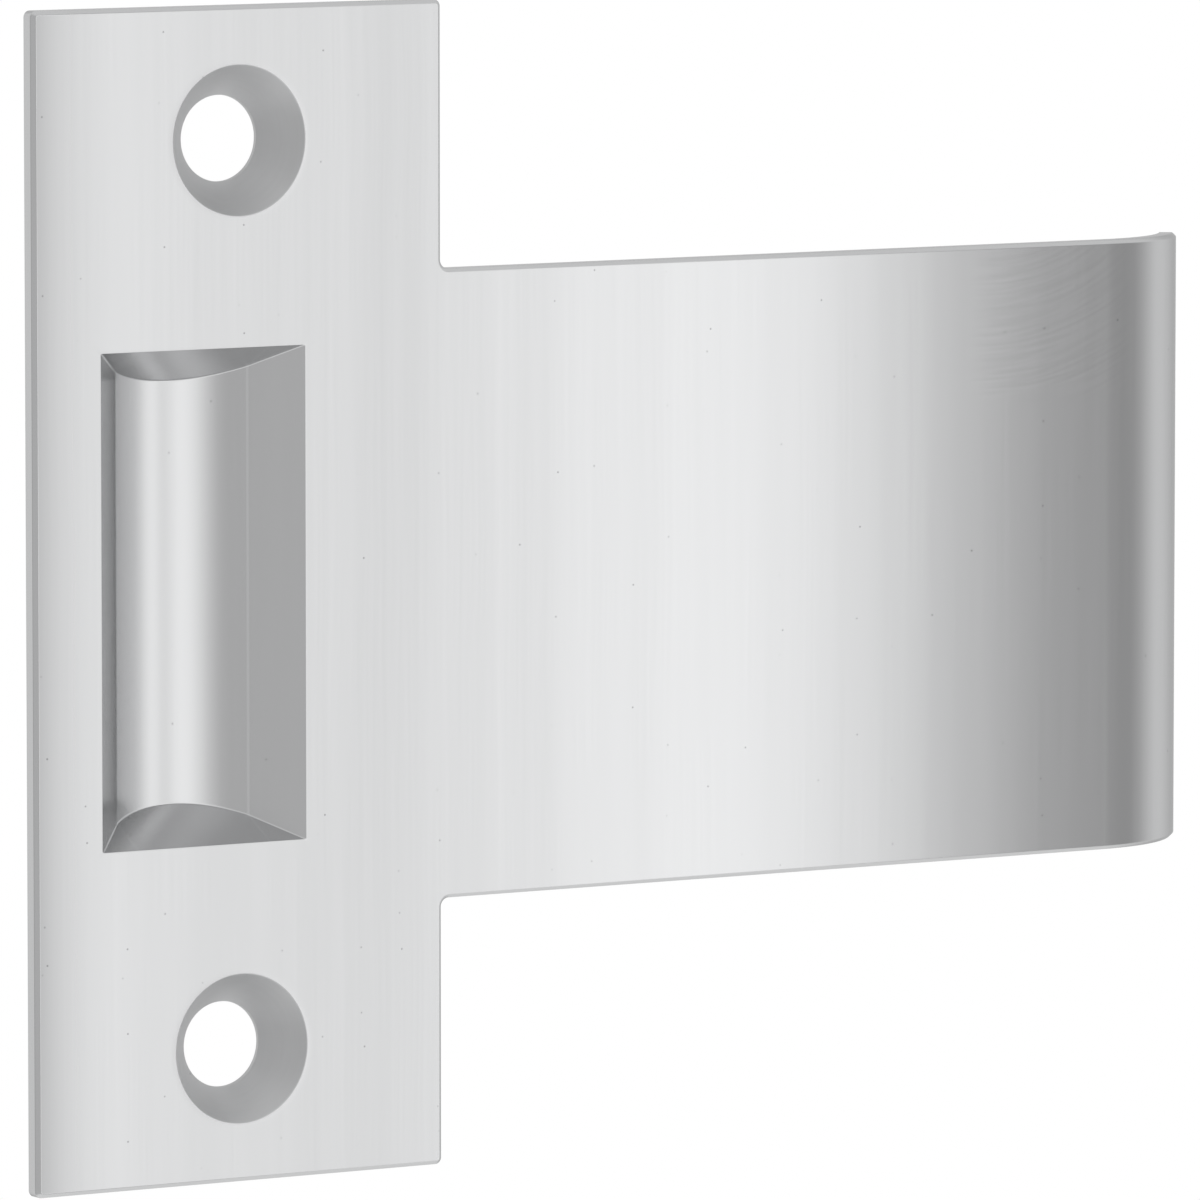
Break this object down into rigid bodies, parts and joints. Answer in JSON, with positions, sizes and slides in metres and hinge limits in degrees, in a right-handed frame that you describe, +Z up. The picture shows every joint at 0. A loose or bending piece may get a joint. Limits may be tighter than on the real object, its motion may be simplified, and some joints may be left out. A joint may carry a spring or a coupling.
{
  "type": "door strike plate",
  "caption": "T-shaped door strike plate in satin metal sheet: upright plate with countersunk screw holes and a closed latch cup, and a wide lip bent back at its end.",
  "frame": {"origin": "where the lip leaves the upright plate: on the flat back face, in line with the plate's right edge, half way up", "axes": "+X along the lip, away from the plate; +Y into the door frame, out of the flat back; +Z up"},
  "size_m": [0.0928, 0.0058, 0.0776],
  "materials": {
    "satin_metal": "satin, finely brushed from top to bottom"
  },
  "bodies": {
    "root": {"strike_plate": "satin_metal"}
  },
  "joints": []
}
